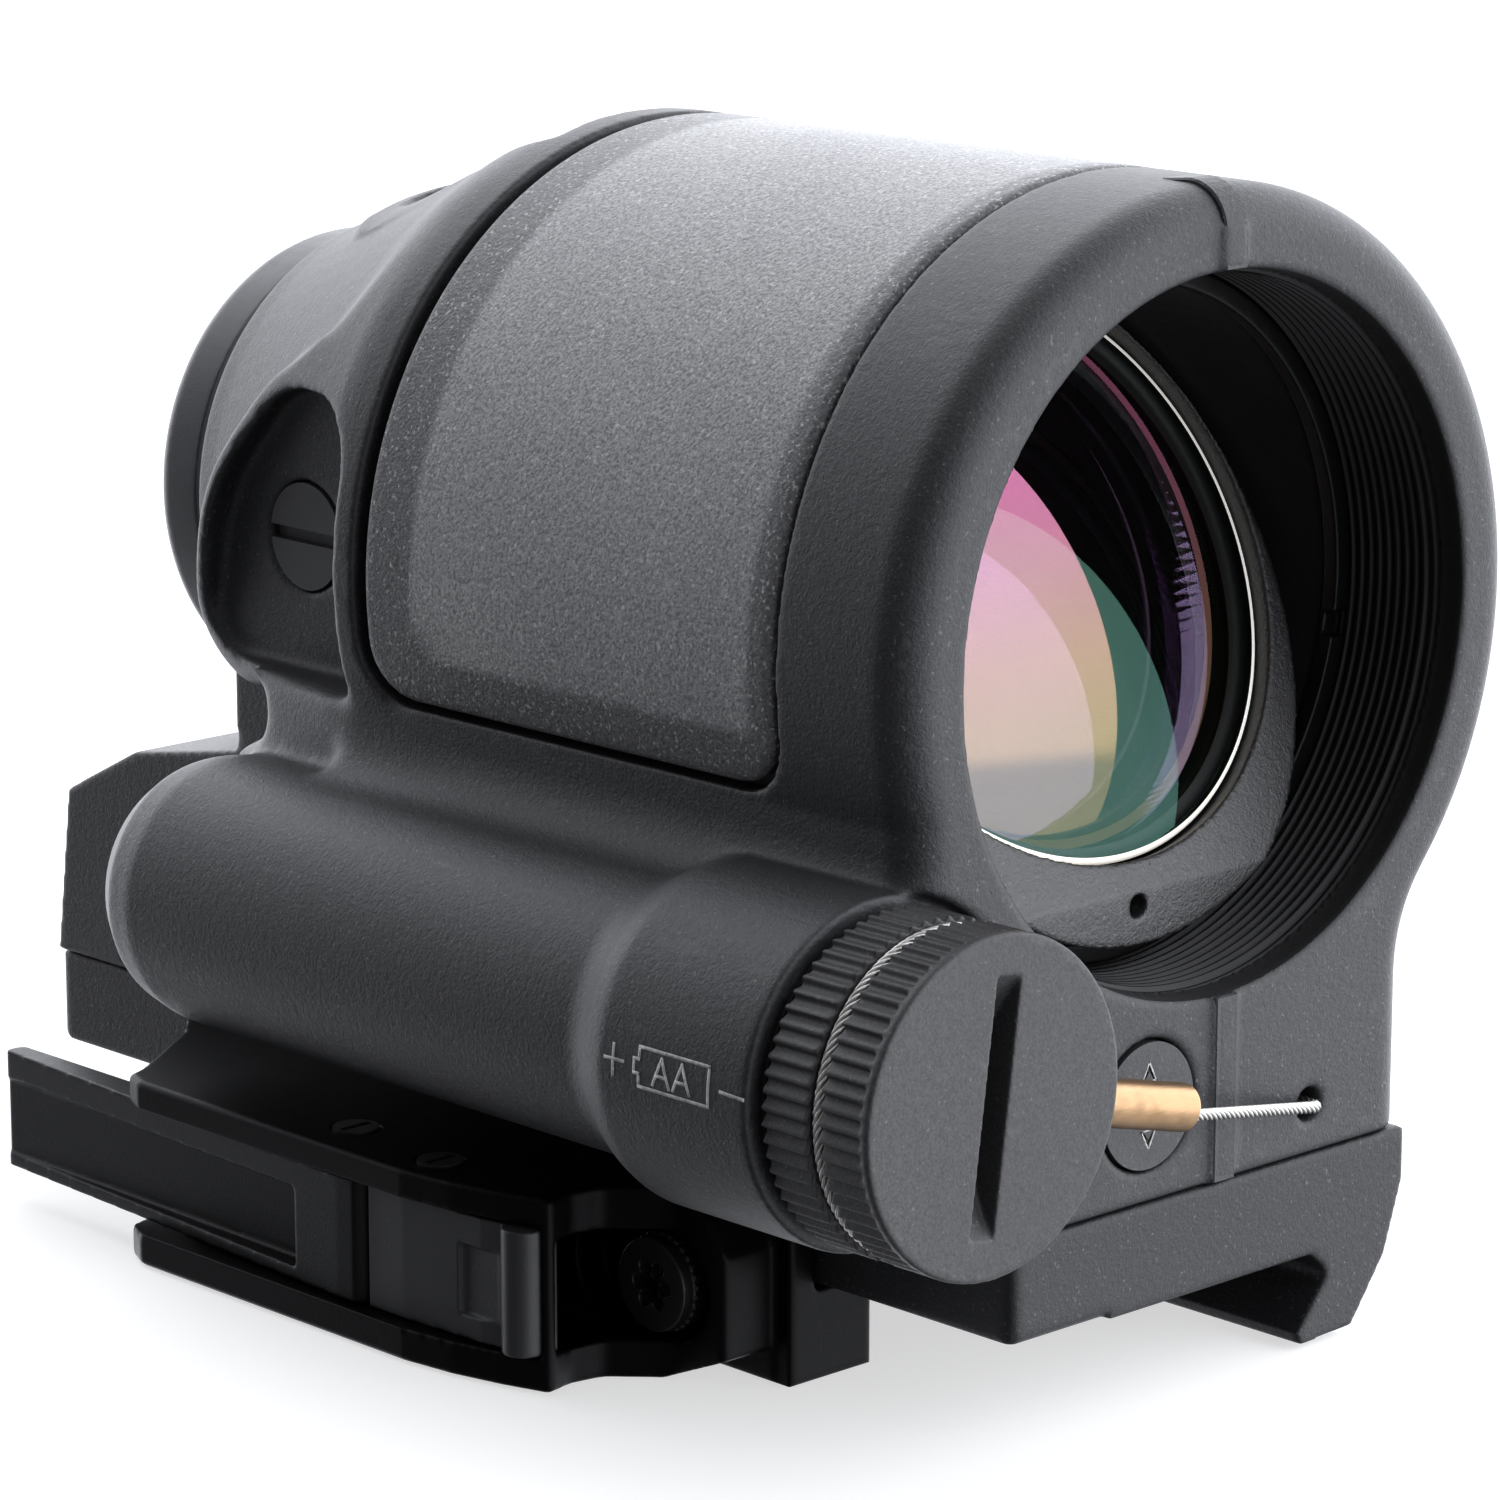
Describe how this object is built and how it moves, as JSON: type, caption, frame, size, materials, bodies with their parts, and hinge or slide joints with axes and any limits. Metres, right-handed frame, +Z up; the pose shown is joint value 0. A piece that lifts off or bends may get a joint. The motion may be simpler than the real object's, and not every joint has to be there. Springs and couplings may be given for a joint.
{
  "type": "red dot sight",
  "caption": "Enclosed tube red dot sight with a solar window, screw-capped battery tube on a wire lanyard, side and top adjusters, and a lever clamp for a rail.",
  "frame": {"origin": "middle of the rail seat: on the seat plane, midway along the sight, under the optical axis", "axes": "+Y runs along the optical axis to the viewer's end, so the target end is at -Y; +Z is up from the rail; the clamp lever, battery tube and side adjuster are at -X, which is to the right of a viewer looking through the sight"},
  "size_m": [0.0664, 0.1021, 0.0744],
  "materials": {
    "housing_coat": "matte hard-anodised charcoal with a fine sand grain",
    "mount_coat": "satin black anodised",
    "bore_black": "dead black inside",
    "cap_coat": "satin grey-black anodised, knurled rim",
    "steel": "satin stainless",
    "dark_steel": "blackened steel",
    "brass": "satin, slightly worn",
    "wire": "stranded stainless wire",
    "rubber": "matt nitrile",
    "rocker_rubber": "matt moulded rubber",
    "coated_glass": "polished, reddish reflex coating",
    "clear_glass": "polished, neutral coating",
    "smoked_window": "smoked polycarbonate",
    "cell": "amorphous silicon cell, fine lines",
    "board": "green printed circuit board with chips",
    "moulding": "black moulded plastic",
    "diode": "red light-emitting diode",
    "battery_can": "printed steel can"
  },
  "bodies": {
    "sight": {"main_housing": "housing_coat", "mount_base": "housing_coat", "base_screw_1": "dark_steel", "base_screw_2": "dark_steel", "base_screw_3": "dark_steel", "base_screw_4": "dark_steel", "clamp_body": "mount_coat", "clamp_screw_1": "dark_steel", "clamp_screw_2": "dark_steel", "lever_pin": "dark_steel", "latch_pin": "dark_steel", "lens_cell": "cap_coat", "lens_front": "coated_glass", "lens_rear": "clear_glass", "bore_retainer": "bore_black", "eyepiece_ring": "mount_coat", "eyepiece_seal": "rubber", "rear_window": "clear_glass", "solar_window": "smoked_window", "window_gasket": "rubber", "solar_cell": "cell", "windage_seal": "rubber", "elevation_seal": "rubber", "rocker_pin": "steel", "rocker_seal": "rubber", "switch_up": "steel", "switch_down": "steel", "control_board": "board", "board_spacer": "moulding", "emitter_block": "moulding", "emitter": "diode", "battery": "battery_can", "contact_cup": "moulding", "positive_contact": "brass", "cap_seal": "rubber"},
    "lanyard": {"lanyard_wire": "wire", "ferrule": "brass", "lanyard_stop": "steel"},
    "cap": {"battery_cap": "cap_coat", "cap_spring": "steel"},
    "lever": {"throw_lever": "mount_coat"},
    "latch": {"lever_latch": "mount_coat"},
    "jaw": {"moving_jaw": "mount_coat"},
    "tensioner": {"tension_screw": "mount_coat"},
    "windage": {"windage_screw": "mount_coat"},
    "elevation": {"elevation_screw": "mount_coat"},
    "brightness": {"rocker": "rocker_rubber"}
  },
  "joints": [
    {"name": "cap_out", "type": "slide", "parent": "sight", "child": "lanyard", "axis": [0, -1, 0], "range_m": [0, 0.005]},
    {"name": "cap_turn", "type": "hinge", "parent": "lanyard", "child": "cap", "pos_m": [-0.02827, -0.04685, 0.01908], "axis": [0, -1, 0], "range_deg": [0, 1440]},
    {"name": "lever_swing", "type": "hinge", "parent": "sight", "child": "lever", "pos_m": [-0.0306, -0.00105, 0], "axis": [0, 0, 1], "range_deg": [0, 100]},
    {"name": "jaw_slide", "type": "slide", "parent": "sight", "child": "jaw", "axis": [-1, 0, 0], "range_m": [0, 0.0024]},
    {"name": "latch_press", "type": "hinge", "parent": "sight", "child": "latch", "pos_m": [-0.0313, -0.01015, 0], "axis": [0, 0, 1], "range_deg": [0, 4], "stiffness_Nm_per_rad": 0.05},
    {"name": "tension_turn", "type": "hinge", "parent": "sight", "child": "tensioner", "pos_m": [-0.0252, -0.02285, 0.0001], "axis": [-1, 0, 0], "range_deg": [-180, 180]},
    {"name": "windage_turn", "type": "hinge", "parent": "sight", "child": "windage", "pos_m": [-0.0216, 0.01405, 0.0415], "axis": [-1, 0, 0], "range_deg": [-360, 360]},
    {"name": "elevation_turn", "type": "hinge", "parent": "sight", "child": "elevation", "pos_m": [0.0005, 0.01405, 0.0609], "axis": [0, 0, 1], "range_deg": [-360, 360]},
    {"name": "rocker_tilt", "type": "hinge", "parent": "sight", "child": "brightness", "pos_m": [-0.0062, -0.04585, 0.0129], "axis": [1, 0, 0], "range_deg": [-3, 3], "stiffness_Nm_per_rad": 0.01}
  ],
  "couplings": [
    {"joint": "cap_out", "follows": "cap_turn", "m_per_rad": 0.00019894},
    {"joint": "jaw_slide", "follows": "lever_swing", "m_per_rad": 0.001375}
  ]
}
